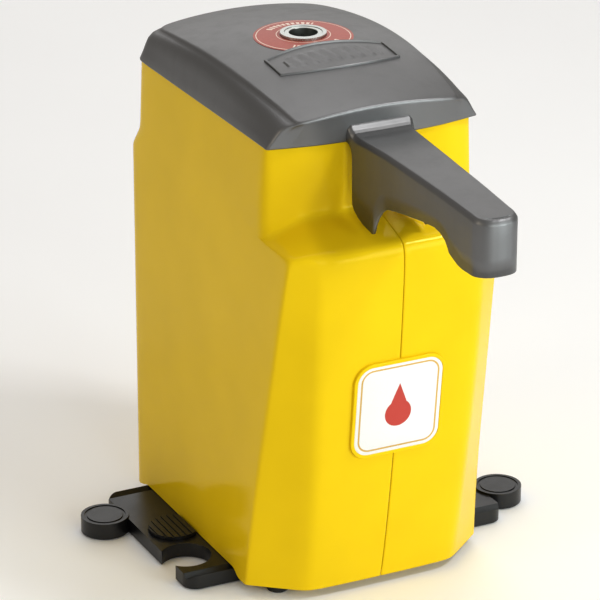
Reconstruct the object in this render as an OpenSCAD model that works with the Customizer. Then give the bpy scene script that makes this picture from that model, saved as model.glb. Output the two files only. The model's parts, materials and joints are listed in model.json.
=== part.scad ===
// Countertop condiment pump dispenser.
// Origin: on the counter, below the pump axis. Front is -Y, +Z is up, millimetres.

/* [Body] */
// Width of the body at the lid seam
body_w = 177; // [160:1:215]
// Width of the body at its foot
foot_w = 209; // [190:1:250]
// Height of the lid seam above the counter
seam_z = 378; // [340:1:460]
// Height of the bottom edge of the body skirt
skirt_z = 8; // [6:0.5:11]
// Height of the shoulder line along each side
shoulder_z = 302; // [270:1:312]
// Height of the shelf where it meets the upper front wall
shelf_z = 320; // [314:1:328]
// Pump axis to the upper front wall
neck_front = 127; // [115:1:150]
// Pump axis to the upper rear wall
neck_rear = 128; // [110:1:150]
// How far the lower front stands out past the upper front wall
belly_out = 48; // [30:1:60]
// How far the front draws back from the shoulder to the foot
front_lean = 34; // [10:1:60]
// How far the front bulges between the shoulder and the foot
front_bulge = 6.5; // [0:0.5:12]
// How far the lower rear stands out past the upper rear wall
rear_out = 14; // [5:1:25]
// How far the rear draws in from the shoulder to the foot
rear_lean = 26; // [5:1:40]
// Wall thickness of the body shells
shell_wall = 3; // [2:0.1:4]

/* [Lid] */
// Height of the crown above the lid seam
crown_h = 44.5; // [36:0.5:60]
// Radius of the crown from front to rear
crown_long_r = 520; // [420:10:800]
// Radius of the crown from side to side
crown_cross_r = 394; // [300:10:600]
// How far the lid stands out past the body all round
lid_lip = 1.5; // [1:0.1:3]
// Wall thickness of the lid
lid_wall = 2.8; // [2:0.1:3.5]
// Gap between the lid and the body
seam_gap = 0.4; // [0.3:0.1:1]

/* [Spout shroud] */
// Pump axis to the tip of the shroud
nose_y = 322; // [280:1:360]
// Width of the shroud at its root
shroud_root_w = 54; // [46:1:64]
// Width of the shroud at its nose
shroud_nose_w = 37; // [34:1:44]
// Height of the nose wall
nose_h = 45; // [38:1:55]
// Wall thickness of the shroud
shroud_wall = 2.5; // [2:0.1:3.5]

/* [Base] */
// Width of the base plate without its tabs
base_w = 289; // [270:1:330]
// Depth of the base plate
base_d = 171; // [150:1:190]
// Height of the top face of the base plate
base_top = 13; // [12.5:0.1:16]
// Radius of each round tab
tab_r = 20; // [17:0.5:24]
// How far a tab's centre stands out past the plate edge
tab_out = 15.5; // [14:0.5:18]
// Front-to-rear distance of tabs and sockets from the middle
tab_y = 47; // [40:1:56]
// Radial clearance of a tab in a socket
tab_clearance = 0.6; // [0.3:0.1:1.5]
// Radius of a release pad
pad_r = 21; // [18:0.5:24]
// Travel of a release pad
pad_travel = 3; // [2:0.5:3]

/* [Pump] */
// Stroke of the push cup and the piston
stroke = 20; // [12:1:22]
// Bore radius of the pump cylinder
bore_r = 20; // [15:0.5:24]
// Wall thickness of the pump cylinder
cylinder_wall = 4; // [3:0.5:6]
// Radius of the plunger rod
rod_r = 5; // [4:0.25:7]
// Outer radius of the push cup
cup_r = 15.2; // [13:0.1:18]
// Inner radius of the push cup
cup_hole_r = 11.4; // [9:0.1:12]
// Outer radius of the discharge tube
tube_r = 7; // [6:0.25:8]
// Bore radius of the discharge tube
tube_bore_r = 4.5; // [3:0.25:5.5]
// Radius of the valve balls
ball_r = 5; // [4:0.25:6]
// Lift of the valve balls
ball_lift = 3; // [2:0.5:4]
// Radius of the spigot that takes a pouch fitment
spigot_r = 9.5; // [8:0.25:12]
// Sliding clearance of rods, pistons and the cup
slide_gap = 0.06; // [0.02:0.01:0.1]

/* [Label] */
// Width of the front label
label_w = 80; // [60:1:90]
// Height of the front label
label_h = 84; // [60:1:95]
// Height of the middle of the front label
label_z = 168; // [140:1:200]

/* [Hinge] */
// Radius of the hinge pin
pin_r = 2; // [1.5:0.25:3]
// Radius of the hinge knuckles
knuckle_r = 5.5; // [4.5:0.25:6.5]

/* [Hidden] */

$fn = 64;
far = 4 * seam_z;
eps = 0.01;

yellow = "#efc500";
lid_grey = "#7f8084";
black = "#2d2d2f";
steel = "#c4c7ca";
clear_grey = "#c9d2d6";
rubber = "#3a3a3c";

// Side walls flare outward from the seam to the foot
flare = (foot_w - body_w) / 2 / (seam_z - skirt_z);
function half_w(z) = body_w / 2 + flare * (seam_z - z);

// Key places of the body outline, from the side
belly_front = neck_front + belly_out;
belly_rear = neck_rear + rear_out;
shelf_front_z = shoulder_z + 7;
shelf_run = belly_out - 8;
step_h = 20;
neck_corner_x = 25;
neck_corner_y = 11;
rear_corner = 12;

// Chamfer facets that narrow the lower front, at the foot and at the shoulder
facet_foot = [36, 32];
facet_top = [21, 15];

floor_z = base_top;
floor_t = 3;

// Lid and hinge places
crown_z = seam_z + crown_h;
lid_bottom = seam_z + seam_gap;
lid_front = neck_front + lid_lip + 2.5;
lid_side = body_w / 2 + lid_lip;
lid_rear = neck_rear + lid_lip;
lid_corner_x = 20;
lid_corner_y = 11;
lid_side_slope = 0.26;
hinge_gap = 0.5;
hinge_y = lid_rear + hinge_gap + knuckle_r;
hinge_z = seam_z + 2;
knuckle_w = 22;
knuckle_gap = 0.5;

// Raised plate on the crown
crest_half_w = 52;
crest_rear = -(cup_r + 10.5);
crest_front = crest_rear - 48.5;
crest_rear_r = 132;
crest_front_r = 160;
crest_h = 1.6;
ring_label_r = 39.8;

// Stack of parts on the pump axis, from the top down
bezel_flange_r = cup_r + 3.3;
bezel_lip_h = 2;
bezel_body_r = cup_r + 1.6;
guide_r = cup_r + 5;
guide_top = crown_z - lid_wall - 1.2;
guide_len = 24;
guide_bottom = guide_top - guide_len;
bezel_bottom = guide_top - 9;
retainer_h = 2;
retainer_gap = 1;
cup_top = crown_z + 1.6;
cup_bottom = guide_bottom - retainer_gap - retainer_h - 1.5;
cup_depth = 22;
head_gap = 1;
head_top = cup_bottom - head_gap;
head_h = 6;
head_r = 13;
deck_top = seam_z - 16 - stroke;
deck_t = 4;
flange_h = 3;
cap_h = 7;
cap_top = deck_top + flange_h + cap_h;
spring_r = 9.5;
spring_wire = 1.8;
cylinder_len = 60 + stroke;
cylinder_bottom = deck_top - cylinder_len;
cylinder_r = bore_r + cylinder_wall;
piston_top = deck_top - 12;
piston_h = 12;
piston_side_gap = 0.5;
block_h = 30;
block_top = cylinder_bottom;
block_bottom = block_top - block_h;

// Discharge path in front of the cylinder
riser_y = -(cylinder_r + tube_r + 12);
tube_z = seam_z - 18;
elbow_r = 14;
slot_half = tube_r + 8;
slot_bottom = tube_z - tube_r - 8;
outlet_y = -(nose_y - shroud_wall - tube_r - 7);
nozzle_r = tube_r + 2;
nozzle_len = 9;
nozzle_bottom = tube_z - elbow_r - nozzle_len - 3;
tube_end_z = nozzle_bottom + 4;
seat_z = block_bottom + 7;
seat_h = 4;
chamber_r = ball_r + 1.5;
throat_r = 3.2;
ball_rest = seat_h + sqrt(ball_r * ball_r - throat_r * throat_r);
outlet_seat_z = seat_z + 15;
port_z = seat_z + 9;
port_r = 3;
riser_base = block_top + 20;
spigot_len = 30;

// Deck, ledges and screws
deck_front = -78;
deck_rear = 38;
deck_side_gap = 1.2;
ledge_w = 14;
ledge_h = 12;
screw_r = 2;
screw_head_r = 3.6;
screw_head_h = 2.4;
screw_fit = 0.1;
boss_r = 6;
boss_half = 13;
boss_rib = 24;
base_screw_x = 70;
base_screw_y = 60;
deck_screw_x = half_w(deck_top) - shell_wall - ledge_w / 2;
deck_screw_ys = [deck_front + 14, deck_rear - 12];

// Base details
plate_bottom = 1;
foot_pad_r = 10;
foot_pad_t = 3;
foot_pad_x = base_w / 2 - tab_out - tab_r - tab_clearance - foot_pad_r - 2;
foot_pad_y = 68;
front_foot_x = 77;
front_foot_y = -(belly_front - front_lean - 31);
front_foot_r = 9;
tab_top = base_top + 1.8;
notch_gap = 0.5;
pad_x = foot_w / 2 + 14;
pad_edge_x = foot_w / 2 + 2;
pad_top = base_top + 3.2;
pad_floor = plate_bottom + 1.6;
pad_gap = 0.4;
pad_bottom = pad_floor + pad_gap + pad_travel;
pad_spring_r = 5;
pad_spring_wire = 1;

// Label
label_corner = 16;
label_lean = 6.5;
label_base_y = -(belly_front - 11);
frame_t = 3.4;
frame_rim = 3;
card_t = 0.8;

// Pouch tray
tray_t = 3;
tray_rear_z = 74;
tray_front_z = 40;
tray_front = -(belly_front - front_lean - shell_wall - 3);
tray_rear = belly_rear - rear_lean - shell_wall - 15;
tray_side_gap = 4;

function unit(v) = v / norm(v);

// Outline moved inward by t; the points run anticlockwise
function moved_edge(a, b, t) = let (d = unit(b - a)) [a + t * [-d.y, d.x], d];
function crossing(e, f) =
  let (den = e[1].x * f[1].y - e[1].y * f[1].x, w = f[0] - e[0])
  e[0] + (w.x * f[1].y - w.y * f[1].x) / den * e[1];
function inset(points, t) =
  let (n = len(points))
  [for (i = [0:n - 1])
    crossing(moved_edge(points[(i + n - 1) % n], points[i], t),
      moved_edge(points[i], points[(i + 1) % n], t))];

// Everything on the outer side of a plane through p with outward normal n, moved inward by t
module outside_plane(p, n, t = 0) {
  u = unit(n);
  translate(p - t * u)
    rotate([0, acos(u.z), atan2(u.y, u.x)])
      translate([-far / 2, -far / 2, 0])
        cube(far);
}

// Turns an outline drawn as (y, z) into a slab across X
module across_x(width) {
  rotate([90, 0, 90])
    translate([0, 0, -width / 2])
      linear_extrude(width)
        children();
}

module both_sides() {
  children();
  mirror([1, 0, 0]) children();
}

module upright(x, y, z, r, h) {
  translate([x, y, z]) cylinder(r = r, h = h);
}

module tube_ring(outer, inner, z, h) {
  translate([0, 0, z])
    difference() {
      cylinder(r = outer, h = h);
      translate([0, 0, -eps]) cylinder(r = inner, h = h + 2 * eps);
    }
}

// A ring of round section, as an O-ring
module o_ring(mid_r, wire_r, z) {
  translate([0, 0, z])
    rotate_extrude()
      translate([mid_r, 0]) circle(r = wire_r, $fn = 24);
}

// ---- body ----

// A point on the bulged front, from the shoulder (s = 0) to the foot (s = 1)
bulge_steps = 7;
front_top_z = shoulder_z - 6;
function front_point(s) =
  [-(belly_front - front_lean * s + 4 * front_bulge * s * (1 - s)),
    front_top_z + (skirt_z - front_top_z) * s];

belly_outline = [
  [-(belly_front - front_lean), skirt_z],
  [belly_rear - rear_lean, skirt_z],
  [belly_rear, shoulder_z],
  [neck_rear, shoulder_z + step_h],
  [-neck_front, shelf_z],
  [-(neck_front + shelf_run), shelf_front_z],
  for (i = [0:bulge_steps - 1]) front_point(i / bulge_steps)];

neck_outline = [
  [body_w / 2 + 20, -(neck_front - neck_corner_y - 8)],
  [body_w / 2 + 20, neck_rear],
  [-body_w / 2 - 20, neck_rear],
  [-body_w / 2 - 20, -(neck_front - neck_corner_y - 8)],
  [-body_w / 2, -(neck_front - neck_corner_y)],
  [-body_w / 2 + neck_corner_x, -(neck_front - 2)],
  [0, -neck_front],
  [body_w / 2 - neck_corner_x, -(neck_front - 2)],
  [body_w / 2, -(neck_front - neck_corner_y)]];

function side_section(t, z0, z1) = [
  [-half_w(z0) + t, z0], [half_w(z0) - t, z0], [half_w(z1) - t, z1], [-half_w(z1) + t, z1]];

// The solid that the body fills, moved inward by t, up to the height top
module body_mass(t, top) {
  foot_hw = half_w(skirt_z);
  top_hw = half_w(shoulder_z);
  foot_y = belly_front - front_lean;
  side_low = [-foot_hw, -(foot_y - facet_foot.y), skirt_z];
  front_low = [-foot_hw + facet_foot.x, -foot_y, skirt_z];
  front_top = [-top_hw + facet_top.x, -belly_front, shoulder_z];
  facet_n = cross(front_low - side_low, front_top - side_low);
  intersection() {
    rotate([90, 0, 0])
      translate([0, 0, -far / 2])
        linear_extrude(far)
          polygon(side_section(t, skirt_z - 1, top + 1));
    union() {
      difference() {
        across_x(far) polygon(inset(belly_outline, t));
        both_sides() {
          outside_plane(side_low, facet_n, t);
          outside_plane([-top_hw, 0, shoulder_z], [-0.55, 0, 0.83], t);
          outside_plane([-foot_hw + rear_corner, belly_rear - rear_lean, skirt_z],
            [-1, 1, -0.03], t);
        }
      }
      translate([0, 0, shoulder_z - 12])
        linear_extrude(top - shoulder_z + 12)
          polygon(inset(neck_outline, t));
    }
    translate([0, 0, skirt_z]) linear_extrude(top - skirt_z) square(far, center = true);
  }
}

// Places of the bosses that join the shells, as (y, z)
shell_boss_places = [
  [-(belly_front - front_lean - shell_wall - 8), 60],
  [-(belly_front - shell_wall - 10), shoulder_z - 30],
  [belly_rear - rear_lean - shell_wall - 5, 50],
  [belly_rear - shell_wall - 6, shoulder_z - 20]];

module shell_bosses() {
  for (p = shell_boss_places)
    translate([-boss_half, p.x, p.y])
      rotate([0, 90, 0]) cylinder(r = boss_r, h = 2 * boss_half);
  for (p = shell_boss_places)
    translate([-boss_half, p.x < 0 ? p.x - boss_rib : p.x, p.y - 2])
      cube([2 * boss_half, boss_rib, 4]);
}

module shell_ledges() {
  both_sides()
    translate([-half_w(deck_top) - 1, deck_front, deck_top - deck_t - ledge_h])
      cube([shell_wall + ledge_w, deck_rear - deck_front, ledge_h]);
}

module tray_rests() {
  both_sides()
    for (y = [tray_front + 20, tray_rear - 30])
      translate([-half_w(skirt_z), y, floor_z])
        cube([22, 8, tray_z(y) - floor_z]);
}

module floor_bosses() {
  both_sides()
    for (y = [-1, 1])
      upright(base_screw_x, y * base_screw_y, floor_z, boss_r, 14);
}

// Body knuckles stand behind the rear wall; the lid's two sit between them
body_knuckles = [-2, 0, 2];
lid_knuckles = [-1, 1];

module knuckle(i, gap, below) {
  width = knuckle_w - 2 * gap;
  translate([i * knuckle_w - width / 2, 0, 0]) {
    translate([0, hinge_y, hinge_z]) rotate([0, 90, 0]) cylinder(r = knuckle_r, h = width);
    if (below)
      translate([0, neck_rear - 1, hinge_z - 16]) cube([width, hinge_y - neck_rear + 1, 14]);
    else
      translate([0, lid_rear - 1, hinge_z]) cube([width, hinge_y - lid_rear + 1, knuckle_r]);
  }
}

module pin_bore(r) {
  translate([-far / 2, hinge_y, hinge_z]) rotate([0, 90, 0]) cylinder(r = r, h = far);
}

module body_whole() {
  difference() {
    union() {
      difference() {
        union() {
          body_mass(0, seam_z);
          for (i = body_knuckles) knuckle(i, knuckle_gap, true);
        }
        // inner space, open at the top
        intersection() {
          body_mass(shell_wall, seam_z + 10);
          translate([0, 0, floor_z + floor_t + far / 2]) cube(far, center = true);
        }
        // hollow under the floor
        intersection() {
          body_mass(shell_wall, seam_z);
          translate([0, 0, floor_z - far / 2]) cube(far, center = true);
        }
        translate([0, 0, skirt_z - 1]) under_skirt();
      }
      intersection() {
        body_mass(shell_wall / 2, seam_z);
        union() {
          shell_bosses();
          shell_ledges();
          tray_rests();
          floor_bosses();
        }
      }
    }
    // slot for the discharge tube
    translate([-slot_half, -neck_front - 5, slot_bottom])
      cube([2 * slot_half, 20, seam_z - slot_bottom + 1]);
    // the base plate passes through the skirt here
    translate([-far / 2, -base_d / 2 - notch_gap, 0])
      cube([far, base_d + 2 * notch_gap, base_top]);
    pin_bore(pin_r);
    for (p = shell_boss_places)
      translate([-boss_half - 1, p.x, p.y]) rotate([0, 90, 0]) {
        cylinder(r = screw_r + screw_fit, h = 2 * boss_half + 2);
        cylinder(r = screw_head_r + screw_fit, h = 1 + screw_head_h + screw_fit);
      }
    both_sides() {
      for (y = [-1, 1])
        upright(base_screw_x, y * base_screw_y, 0, screw_r + screw_fit, floor_z + 12);
      for (y = deck_screw_ys)
        upright(deck_screw_x, y, deck_top - deck_t - 10, screw_r + screw_fit, 11);
    }
    label_seat();
  }
}

// Clears the hollow between the skirt edge and the floor
module under_skirt() {
  hw = half_w(skirt_z) - shell_wall;
  linear_extrude(base_top - skirt_z + 1)
    polygon(inset([
      [-hw, -(belly_front - front_lean - facet_foot.y)],
      [-hw + facet_foot.x, -(belly_front - front_lean)],
      [hw - facet_foot.x, -(belly_front - front_lean)],
      [hw, -(belly_front - front_lean - facet_foot.y)],
      [hw, belly_rear - rear_lean - rear_corner],
      [hw - rear_corner, belly_rear - rear_lean],
      [-hw + rear_corner, belly_rear - rear_lean],
      [-hw, belly_rear - rear_lean - rear_corner]], shell_wall));
}

module body_left_shell() {
  color(yellow)
    intersection() {
      body_whole();
      translate([-far / 2, 0, 0]) cube(far, center = true);
    }
}

module body_right_shell() {
  color(yellow)
    intersection() {
      body_whole();
      translate([far / 2, 0, 0]) cube(far, center = true);
    }
}

module screw(length) {
  cylinder(r = screw_r, h = length);
  cylinder(r = screw_head_r, h = screw_head_h);
}

module shell_screws() {
  color(steel)
    for (p = shell_boss_places)
      translate([-boss_half, p.x, p.y]) rotate([0, 90, 0]) screw(2 * boss_half - 2);
}

// ---- base ----

module base_outline() {
  hw = base_w / 2;
  hd = base_d / 2;
  r = 12;
  union() {
    difference() {
      union() {
        square([base_w - 2 * r, base_d], center = true);
        square([base_w, base_d - 2 * r], center = true);
        for (sx = [-1, 1], sy = [-1, 1])
          translate([sx * (hw - r), sy * (hd - r)]) circle(r = r);
      }
      for (s = [-1, 1])
        translate([s * (hw - tab_out), s * tab_y]) circle(r = tab_r + tab_clearance);
    }
    for (s = [-1, 1])
      translate([-s * (hw + tab_out), s * tab_y]) circle(r = tab_r);
  }
}

module pad_outline(r) {
  intersection() {
    translate([pad_x, 0]) circle(r = r);
    translate([pad_edge_x - (r - pad_r), -far / 2]) square(far);
  }
}

module base_plate() {
  color(black)
    difference() {
      union() {
        translate([0, 0, plate_bottom]) linear_extrude(base_top - plate_bottom) base_outline();
        for (s = [-1, 1])
          upright(-s * (base_w / 2 + tab_out), s * tab_y, plate_bottom, tab_r,
            tab_top - plate_bottom);
      }
      for (s = [-1, 1])
        translate([-s * (base_w / 2 + tab_out), s * tab_y, tab_top - 0.8])
          tube_ring(tab_r - 3, tab_r - 5, 0, 1);
      // sloped front and rear edges outside the body
      for (s = [-1, 1], e = [-1, 1])
        translate([s * (base_w / 2 - 21), e * (base_d / 2), base_top])
          rotate([e * 35, 0, 0]) translate([-30, -8, 0]) cube([60, 16, 12]);
      for (s = [0, 180])
        rotate([0, 0, s]) {
          translate([0, 0, pad_floor]) linear_extrude(far) pad_outline(pad_r + pad_gap);
          for (y = [-1, 1]) {
            upright(base_screw_x, y * base_screw_y, 0, screw_r + screw_fit, far);
            upright(base_screw_x, y * base_screw_y, 0, screw_head_r + screw_fit,
              plate_bottom + screw_head_h);
          }
        }
      foot_pads();
    }
}

module foot_pads() {
  upright(0, 0, 0, foot_pad_r, foot_pad_t);
  for (x = [-1, 1], y = [-1, 1])
    upright(x * foot_pad_x, y * foot_pad_y, 0, foot_pad_r, foot_pad_t);
}

module base_feet() {
  color(rubber) foot_pads();
}

module base_screws() {
  color(steel)
    for (x = [-1, 1], y = [-1, 1])
      translate([x * base_screw_x, y * base_screw_y, plate_bottom]) screw(base_top + 8);
}

module front_feet() {
  color(rubber)
    both_sides() upright(front_foot_x, front_foot_y, 0, front_foot_r, floor_z);
}

module release_pad() {
  ribs = 7;
  pitch = 2 * pad_r / (ribs + 1);
  color(black)
    difference() {
      translate([0, 0, pad_bottom]) linear_extrude(pad_top - pad_bottom) pad_outline(pad_r);
      for (i = [1:ribs])
        translate([pad_edge_x + pitch * i - 1, -far / 2, pad_top - 0.8]) cube([1.6, far, 2]);
      upright(pad_x + 4, 0, 0, pad_spring_r + pad_spring_wire, pad_bottom + 2);
    }
}

module pad_spring() {
  color(steel)
    translate([pad_x + 4, 0, pad_floor]) coil(pad_spring_r, pad_spring_wire,
      pad_bottom + 2 - pad_floor, 2);
}

module release_pad_left() { mirror([1, 0, 0]) release_pad(); }
module release_pad_right() { release_pad(); }
module pad_spring_left() { mirror([1, 0, 0]) pad_spring(); }
module pad_spring_right() { pad_spring(); }

// A round-wire coil spring with flat closed ends
module coil(r, wire, height, turns) {
  end_h = wire * 0.9;
  translate([0, 0, end_h / 2])
    linear_extrude(height - end_h, twist = -360 * turns, slices = 16 * turns, $fn = 8)
      translate([r, 0]) circle(d = wire);
  tube_ring(r + wire / 2, r - wire / 2, 0, end_h);
  tube_ring(r + wire / 2, r - wire / 2, height - end_h, end_h);
}

// ---- lid ----

module hinge_pin() {
  length = 5 * knuckle_w - 2 * knuckle_gap;
  color(steel)
    translate([-length / 2, hinge_y, hinge_z]) rotate([0, 90, 0]) cylinder(r = pin_r, h = length);
}

// Everything below the crowned top, lifted by rise
module under_crown(rise) {
  axis_z = crown_z - crown_long_r;
  translate([0, 0, axis_z])
    rotate([0, 90, 0])
      rotate_extrude($fn = 180)
        intersection() {
          translate([crown_long_r - crown_cross_r, 0]) circle(r = crown_cross_r + rise, $fn = 180);
          translate([0, -120]) square([crown_long_r + 50, 240]);
        }
}

lid_outline = [
  [-lid_side, -(lid_front - lid_corner_y)],
  [-lid_side + lid_corner_x, -(lid_front - 1)],
  [0, -lid_front],
  [lid_side - lid_corner_x, -(lid_front - 1)],
  [lid_side, -(lid_front - lid_corner_y)],
  [lid_side, lid_rear - rear_corner],
  [lid_side - rear_corner, lid_rear],
  [-lid_side + rear_corner, lid_rear],
  [-lid_side, lid_rear - rear_corner]];

// The solid that the lid fills, moved inward by t
module lid_mass(t, bottom) {
  intersection() {
    under_crown(-t);
    translate([0, 0, bottom]) linear_extrude(80) polygon(inset(lid_outline, t));
    difference() {
      translate([0, 0, seam_z]) cube([far, far, far], center = true);
      both_sides() {
        outside_plane([-lid_side, 0, lid_bottom], [-1, 0, lid_side_slope], t);
        for (e = [-1, 1])
          outside_plane([-lid_side, e * (lid_front - lid_corner_y), lid_bottom],
            [-0.62, e * 0.25, 0.5], t);
      }
      outside_plane([0, lid_rear, lid_bottom], [0, 1, 0.3], t);
    }
  }
}

// Side outline of the spout shroud, as (y, z)
shroud_top = seam_z + 7;
nose_top = seam_z - 0.5;
nose_low = nose_top - nose_h;
under_z = seam_z - 36;
shroud_rear_y = -(neck_front + 10);
shroud_outline = [
  [-neck_front, lid_bottom],
  [-neck_front, shroud_top],
  [shroud_rear_y - 5, shroud_top],
  [-(nose_y - 3), nose_top + 0.5],
  [-nose_y, nose_top - 3],
  [-(nose_y - 2), nose_low + 2],
  [-(nose_y - 5), nose_low],
  [-(nose_y - 36), nose_low],
  [-(nose_y - 45), nose_low + 7],
  [-(nose_y - 60), under_z],
  [-(neck_front + 62), under_z - 1],
  [-(neck_front + 52), under_z - 8],
  [-(neck_front + 45), under_z - 18],
  [-(neck_front + 40), shelf_z - 5],
  [-(neck_front + 24), shelf_z - 1.5],
  [shroud_rear_y - 2, shelf_z + 7],
  [shroud_rear_y, shelf_z + 12],
  [shroud_rear_y, lid_bottom]];

function shroud_plan(t) =
  let (a = shroud_root_w / 2 - t, b = shroud_nose_w / 2 - t, n = nose_y - t)
  [[-a, -neck_front + 6], [-a, -neck_front - 10], [-b, -(n - 10)], [-b + 3, -(n - 3)],
    [-b + 10, -n], [b - 10, -n], [b - 3, -(n - 3)], [b, -(n - 10)], [a, -neck_front - 10],
    [a, -neck_front + 6]];

module shroud_solid() {
  intersection() {
    across_x(far) polygon(shroud_outline);
    linear_extrude(far) polygon(shroud_plan(0));
  }
}

module shroud_hollow() {
  intersection() {
    across_x(far)
      polygon([
        [-neck_front + 4, 200], [-neck_front + 4, lid_bottom - 2],
        [shroud_rear_y + 3, shroud_top - shroud_wall],
        [-nose_y, nose_top - shroud_wall], [-nose_y, 200]]);
    linear_extrude(far) polygon(shroud_plan(shroud_wall));
  }
}

module lid_cover() {
  color(lid_grey)
    difference() {
      union() {
        lid_mass(0, lid_bottom);
        shroud_solid();
        for (i = lid_knuckles) knuckle(i, knuckle_gap, false);
      }
      lid_mass(lid_wall, lid_bottom - 20);
      shroud_hollow();
      upright(0, 0, seam_z, bezel_body_r + 0.1, far);
      pin_bore(pin_r + slide_gap);
      for (i = body_knuckles) knuckle(i, 0, true);
    }
}

// A plain barrel-shaped plate, arched at the front and rear
module crest_outline() {
  intersection() {
    translate([0, crest_rear - crest_rear_r]) circle(r = crest_rear_r, $fn = 180);
    translate([0, crest_front + crest_front_r]) circle(r = crest_front_r, $fn = 180);
    square([2 * crest_half_w, far], center = true);
  }
}

module lid_crest() {
  color(lid_grey)
    difference() {
      intersection() {
        under_crown(crest_h);
        translate([0, 0, seam_z]) linear_extrude(far) crest_outline();
      }
      under_crown(0);
    }
}

module button_ring_label() {
  color("#a8605a")
    difference() {
      intersection() {
        under_crown(0.3);
        translate([0, 0, seam_z])
          linear_extrude(far)
            difference() {
              circle(r = ring_label_r);
              circle(r = bezel_flange_r + 0.3);
              crest_outline();
            }
      }
      under_crown(0);
    }
}

module button_bezel() {
  color(steel)
    difference() {
      union() {
        upright(0, 0, bezel_bottom, bezel_body_r, crown_z - bezel_bottom);
        intersection() {
          upright(0, 0, crown_z - 4, bezel_flange_r, 4 + bezel_lip_h);
          difference() {
            translate([0, 0, crown_z]) cube(80, center = true);
            under_crown(0);
          }
        }
      }
      upright(0, 0, 0, cup_r + slide_gap, far);
    }
}

module cup_guide() {
  color(clear_grey)
    difference() {
      union() {
        upright(0, 0, guide_bottom, guide_r, guide_len);
        upright(0, 0, guide_top - 3, guide_r + 7, 3);
      }
      upright(0, 0, 0, cup_r + slide_gap, far);
      upright(0, 0, bezel_bottom, bezel_body_r, far);
    }
}

module push_cup() {
  color(steel)
    difference() {
      upright(0, 0, cup_bottom, cup_r, cup_top - cup_bottom);
      upright(0, 0, cup_top - cup_depth, cup_hole_r, far);
      retainer_groove(slide_gap);
    }
}

module retainer_groove(gap) {
  z = guide_bottom - retainer_gap - retainer_h;
  tube_ring(cup_r + 1, cup_r - 1.2, z - gap, retainer_h + 2 * gap);
}

module cup_retainer() {
  color(steel)
    tube_ring(cup_r + 2.4, cup_r - 1.2, guide_bottom - retainer_gap - retainer_h, retainer_h);
}

// ---- pump ----

module pump_deck() {
  hw = half_w(deck_top) - shell_wall - deck_side_gap;
  color(clear_grey)
    difference() {
      translate([-hw, deck_front, deck_top - deck_t])
        cube([2 * hw, deck_rear - deck_front, deck_t]);
      upright(0, 0, 0, cylinder_r, far);
      upright(0, riser_y, 0, tube_r + 0.5, far);
      both_sides()
        for (y = deck_screw_ys)
          upright(deck_screw_x, y, 0, screw_r + screw_fit, far);
    }
}

module deck_screws() {
  color(steel)
    both_sides()
      for (y = deck_screw_ys)
        translate([deck_screw_x, y, deck_top + screw_head_h])
          mirror([0, 0, 1]) screw(deck_t + screw_head_h + 8);
}

module pump_cylinder() {
  color(clear_grey)
    difference() {
      union() {
        upright(0, 0, cylinder_bottom, cylinder_r, cylinder_len + flange_h);
        upright(0, 0, deck_top, cylinder_r + 7, flange_h);
      }
      upright(0, 0, cylinder_bottom + 6, bore_r, far);
      upright(0, 0, 0, throat_r, far);
    }
}

module cylinder_cap() {
  color(lid_grey)
    difference() {
      union() {
        upright(0, 0, deck_top + flange_h, cylinder_r + 7, cap_h);
        for (i = [0:7])
          rotate([0, 0, i * 45])
            translate([cylinder_r + 5.5, -4, deck_top + flange_h]) cube([4, 8, cap_h]);
      }
      upright(0, 0, 0, rod_r + slide_gap, far);
      upright(0, 0, 0, rod_r + 3.5, deck_top + flange_h + 4);
    }
}

module rod_seal() {
  color(rubber)
    tube_ring(rod_r + 3.5, rod_r + slide_gap, deck_top + flange_h, 4);
}

module plunger_rod() {
  color(steel)
    union() {
      upright(0, 0, piston_top, rod_r, head_top - head_h - piston_top);
      upright(0, 0, head_top - head_h, head_r, head_h);
    }
}

groove_mid_z = piston_top - piston_h / 2;
seal_depth = 3;
seal_h = 4;

module piston() {
  color(clear_grey)
    difference() {
      upright(0, 0, piston_top - piston_h, bore_r - piston_side_gap, piston_h);
      tube_ring(bore_r, bore_r - seal_depth, groove_mid_z - seal_h / 2, seal_h);
    }
}

module piston_seal() {
  color(rubber)
    tube_ring(bore_r - slide_gap, bore_r - seal_depth, groove_mid_z - seal_h / 2, seal_h);
}

module plunger_spring() {
  color(steel)
    translate([0, 0, cap_top])
      coil(spring_r, spring_wire, head_top - head_h - cap_top, 6);
}

// ---- valves and tubes ----

module valve_block() {
  hw = chamber_r + 6;
  column_r = hw + 1.5;
  color(clear_grey)
    difference() {
      union() {
        translate([-hw, riser_y, block_bottom]) cube([2 * hw, hw - riser_y, block_h]);
        upright(0, riser_y, block_bottom, column_r, riser_base - block_bottom);
      }
      // inlet: throat, then the ball chamber up to the cylinder
      upright(0, 0, block_bottom - 1, throat_r + 1.5, far);
      upright(0, 0, seat_z, chamber_r, far);
      // passage from the inlet chamber to the space under the outlet seat
      translate([0, 0, port_z]) rotate([90, 0, 0]) cylinder(r = port_r, h = -riser_y);
      upright(0, riser_y, port_z - port_r - 1, port_r + 1, far);
      upright(0, riser_y, outlet_seat_z, chamber_r, seat_h + 2 * ball_r + ball_lift + 1);
    }
}

module seat(y, z) {
  translate([0, y, z]) tube_ring(chamber_r, throat_r, 0, seat_h);
}

module ball(y, z) {
  translate([0, y, z + ball_rest + 0.05]) sphere(r = ball_r);
}

module inlet_seat() { color(clear_grey) seat(0, seat_z); }
module outlet_seat() { color(clear_grey) seat(riser_y, outlet_seat_z); }
module inlet_ball() { color(steel) ball(0, seat_z); }
module outlet_ball() { color(steel) ball(riser_y, outlet_seat_z); }

module suction_spigot() {
  color(clear_grey)
    difference() {
      union() {
        upright(0, 0, block_bottom - 4, spigot_r + 4, 4);
        upright(0, 0, block_bottom - spigot_len, spigot_r, spigot_len);
      }
      upright(0, 0, 0, throat_r + 1.5, far);
      o_ring(spigot_r, 1.2, block_bottom - 9);
    }
}

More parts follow.
